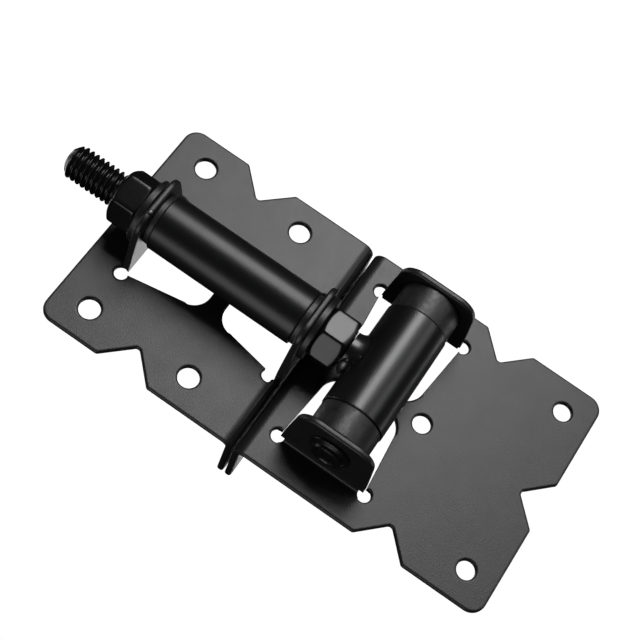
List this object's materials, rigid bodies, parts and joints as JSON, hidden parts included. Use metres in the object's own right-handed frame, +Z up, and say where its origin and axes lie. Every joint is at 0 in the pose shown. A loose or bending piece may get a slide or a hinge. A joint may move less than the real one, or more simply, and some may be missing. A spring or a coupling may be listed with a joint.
{
  "type": "gate hinge",
  "caption": "Adjustable pivot hinge for timber gates: folded leaves, a post-side barrel pivot and a threaded stud with nuts that sets the gap.",
  "frame": {"origin": "on the plane of the leaves' back faces, straight behind the middle of the pivot", "axes": "+Z up along the pivot, +X along the stud towards the gate, +Y into the post and gate"},
  "size_m": [0.2044, 0.0625, 0.094],
  "materials": {
    "leaf_coat": "satin black coating",
    "fastener_coat": "satin black plating",
    "bush_plastic": "matt black"
  },
  "bodies": {
    "post": {"post_leaf": "leaf_coat", "pivot_pin": "fastener_coat"},
    "pivot": {"pivot_barrel": "leaf_coat", "upper_bush": "bush_plastic", "lower_bush": "bush_plastic", "threaded_stud": "fastener_coat", "weld_bead": "leaf_coat"},
    "clamp_set": {"spacer_sleeve": "leaf_coat", "inner_ring": "bush_plastic", "outer_ring": "bush_plastic", "inner_washer": "fastener_coat", "outer_washer": "fastener_coat"},
    "gate": {"gate_leaf": "leaf_coat"},
    "near_nut": {"inner_nut": "fastener_coat"},
    "far_nut": {"outer_nut": "fastener_coat"}
  },
  "joints": [
    {"name": "swing", "type": "hinge", "parent": "post", "child": "pivot", "pos_m": [0, -0.02, 0], "axis": [0, 0, -1], "range_deg": [0, 180]},
    {"name": "gap_adjust", "type": "slide", "parent": "pivot", "child": "clamp_set", "axis": [1, 0, 0], "range_m": [-0.0004, 0.015]},
    {"name": "leaf_tilt", "type": "hinge", "parent": "clamp_set", "child": "gate", "pos_m": [0.0632, -0.02, 0], "axis": [1, 0, 0], "range_deg": [-10, 10]},
    {"name": "near_nut_turn", "type": "hinge", "parent": "clamp_set", "child": "near_nut", "pos_m": [0.0205, -0.02, 0], "axis": [1, 0, 0], "range_deg": [-69, 2551]},
    {"name": "far_nut_turn", "type": "hinge", "parent": "clamp_set", "child": "far_nut", "pos_m": [0.1047, -0.02, 0], "axis": [1, 0, 0], "range_deg": [-69, 2551]}
  ],
  "couplings": [
    {"joint": "near_nut_turn", "follows": "gap_adjust", "rad_per_m": 2968},
    {"joint": "far_nut_turn", "follows": "gap_adjust", "rad_per_m": 2968}
  ]
}
